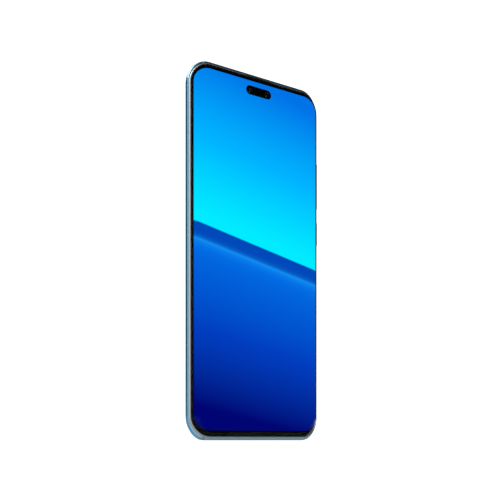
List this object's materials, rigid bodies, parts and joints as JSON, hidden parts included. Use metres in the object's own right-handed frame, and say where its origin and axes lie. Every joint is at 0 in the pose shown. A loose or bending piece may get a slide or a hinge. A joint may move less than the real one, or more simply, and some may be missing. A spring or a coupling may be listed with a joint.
{
  "type": "smartphone",
  "caption": "Slim smartphone with a display curved over both long sides, a pill-shaped camera cut-out, a light blue metal frame and a raised rear camera island.",
  "frame": {"origin": "middle of the bottom of the object's box, level with the bottom edge of the frame", "axes": "+Z along the phone from its bottom edge to its top edge, +X to the right as its user sees it, +Y out of the rear cover; the screen faces -Y"},
  "size_m": [0.0732, 0.009, 0.1592],
  "materials": {
    "cover_glass": "polished, clear over the display and printed black round it",
    "display": "lit picture",
    "copper_foil": "rolled copper",
    "flex_film": "amber polyimide",
    "black_plastic": "moulded, fine grain",
    "grey_plastic": "moulded, satin",
    "steel": "bright stamped",
    "frame_metal": "light blue, glossy anodised",
    "antenna_band": "satin, tinted to match the frame",
    "alloy_plate": "die cast",
    "battery_pouch": "black film over foil",
    "circuit_board": "solder mask",
    "rubber": "soft matt",
    "rear_glass": "teal blue paint behind satin glass",
    "lens_glass": "polished"
  },
  "bodies": {
    "phone_body": {"cover_glass": "cover_glass", "display_panel": "display", "display_backing": "copper_foil", "vapor_chamber": "copper_foil", "nfc_coil": "copper_foil", "display_flex": "flex_film", "battery_lead": "flex_film", "interconnect_flex": "flex_film", "key_flex": "flex_film", "fingerprint_sensor": "black_plastic", "front_camera_left": "black_plastic", "front_camera_right": "black_plastic", "infrared_window": "black_plastic", "upper_bracket": "black_plastic", "speaker_box": "black_plastic", "usb_tongue": "black_plastic", "main_camera_housing": "black_plastic", "wide_camera": "black_plastic", "macro_camera": "black_plastic", "bezel_ring": "grey_plastic", "earpiece_mesh": "steel", "earpiece_receiver": "steel", "processor_shield": "steel", "screw_upper_left": "steel", "screw_upper_right": "steel", "screw_lower_left": "steel", "screw_lower_right": "steel", "speaker_mesh": "steel", "haptic_case": "steel", "usb_shell": "steel", "sim_reader": "steel", "dome_volume_up": "steel", "dome_volume_down": "steel", "dome_power": "steel", "side_frame": "frame_metal", "camera_island": "frame_metal", "antenna_band_top_left": "antenna_band", "antenna_band_top_right": "antenna_band", "antenna_band_bottom_left": "antenna_band", "antenna_band_bottom_right": "antenna_band", "mid_plate": "alloy_plate", "battery": "battery_pouch", "main_board": "circuit_board", "sub_board": "circuit_board", "coax_cable": "rubber", "rear_gasket": "rubber", "rear_cover": "rear_glass", "main_lens_window": "lens_glass", "wide_lens_window": "lens_glass", "macro_lens_window": "lens_glass", "flash_window": "lens_glass"},
    "volume_key": {"volume_key": "frame_metal"},
    "power_key": {"power_key": "frame_metal"},
    "sim_tray": {"sim_tray": "frame_metal", "sim_seal": "rubber"},
    "focus_lens": {"main_lens_barrel": "black_plastic"},
    "haptic_weight": {"haptic_mass": "steel"},
    "speaker_diaphragm": {"speaker_cone": "rubber"},
    "eject_rod": {"eject_rod": "steel"},
    "eject_lever": {"eject_lever": "steel"}
  },
  "joints": [
    {"name": "volume_rock", "type": "hinge", "parent": "phone_body", "child": "volume_key", "pos_m": [0.03515, -0.00125, 0.117], "axis": [0, 1, 0], "range_deg": [-1.1, 1.1], "stiffness_Nm_per_rad": 0.4},
    {"name": "power_press", "type": "slide", "parent": "phone_body", "child": "power_key", "axis": [-1, 0, 0], "range_m": [0, 0.00025], "stiffness_N_per_m": 4000},
    {"name": "tray_slide", "type": "slide", "parent": "phone_body", "child": "sim_tray", "axis": [0, 0, -1], "range_m": [0, 0.0195]},
    {"name": "focus_slide", "type": "slide", "parent": "phone_body", "child": "focus_lens", "axis": [0, 1, 0], "range_m": [0, 0.0003], "stiffness_N_per_m": 40},
    {"name": "haptic_shake", "type": "slide", "parent": "phone_body", "child": "haptic_weight", "axis": [1, 0, 0], "range_m": [-0.0005, 0.0005], "stiffness_N_per_m": 900},
    {"name": "speaker_stroke", "type": "slide", "parent": "phone_body", "child": "speaker_diaphragm", "axis": [0, 1, 0], "range_m": [-0.00035, 0.00035], "stiffness_N_per_m": 300},
    {"name": "rod_push", "type": "slide", "parent": "phone_body", "child": "eject_rod", "axis": [0, 0, 1], "range_m": [0, 0.0012]},
    {"name": "lever_turn", "type": "hinge", "parent": "phone_body", "child": "eject_lever", "pos_m": [-0.0142, -0.0008, 0.0246], "axis": [0, -1, 0], "range_deg": [0, 16.5]}
  ],
  "couplings": [
    {"joint": "lever_turn", "follows": "rod_push", "rad_per_m": 232.71}
  ]
}
